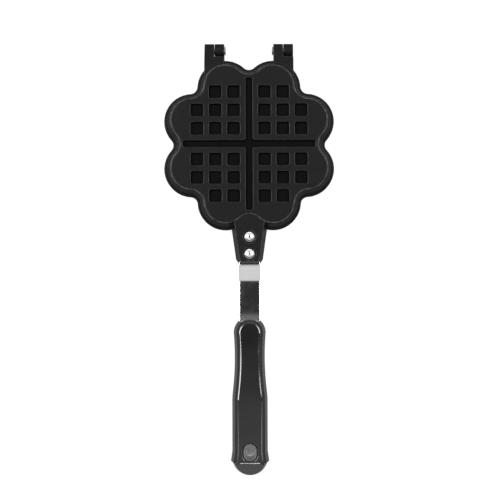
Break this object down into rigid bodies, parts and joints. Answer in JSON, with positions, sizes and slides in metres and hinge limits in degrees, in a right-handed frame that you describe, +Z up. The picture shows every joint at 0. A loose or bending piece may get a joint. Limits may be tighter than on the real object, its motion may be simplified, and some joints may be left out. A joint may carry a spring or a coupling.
{
  "type": "stovetop waffle iron",
  "caption": "Hinged cast stovetop waffle iron with a clover of heart moulds, riveted steel handle strips and black moulded half grips.",
  "frame": {"origin": "centre of the plate, on the lower casting's outer face, which stands on the hob", "axes": "+Z up through both castings, +Y from the handle towards the hinge, +X across the plate"},
  "size_m": [0.1378, 0.3502, 0.03],
  "materials": {
    "casting": "black non-stick coat",
    "strip": "polished",
    "rivet": "bright",
    "grip": "gloss",
    "screw": "zinc",
    "insert": "plain",
    "pin": "satin"
  },
  "bodies": {
    "lower_half": {"lower_plate": "casting", "lower_strip": "strip", "lower_grip": "grip", "lower_front_rivet": "rivet", "lower_front_screw": "screw", "lower_front_insert": "insert", "lower_rear_rivet": "rivet", "lower_rear_screw": "screw", "lower_rear_insert": "insert", "left_hinge_pin": "pin", "right_hinge_pin": "pin"},
    "upper_half": {"upper_plate": "casting", "upper_strip": "strip", "upper_grip": "grip", "upper_front_rivet": "rivet", "upper_front_screw": "screw", "upper_front_insert": "insert", "upper_rear_rivet": "rivet", "upper_rear_screw": "screw", "upper_rear_insert": "insert"}
  },
  "joints": [
    {"name": "lid_hinge", "type": "hinge", "parent": "lower_half", "child": "upper_half", "pos_m": [0, 0.0775, 0.015], "axis": [-1, 0, 0], "range_deg": [0, 180]}
  ]
}
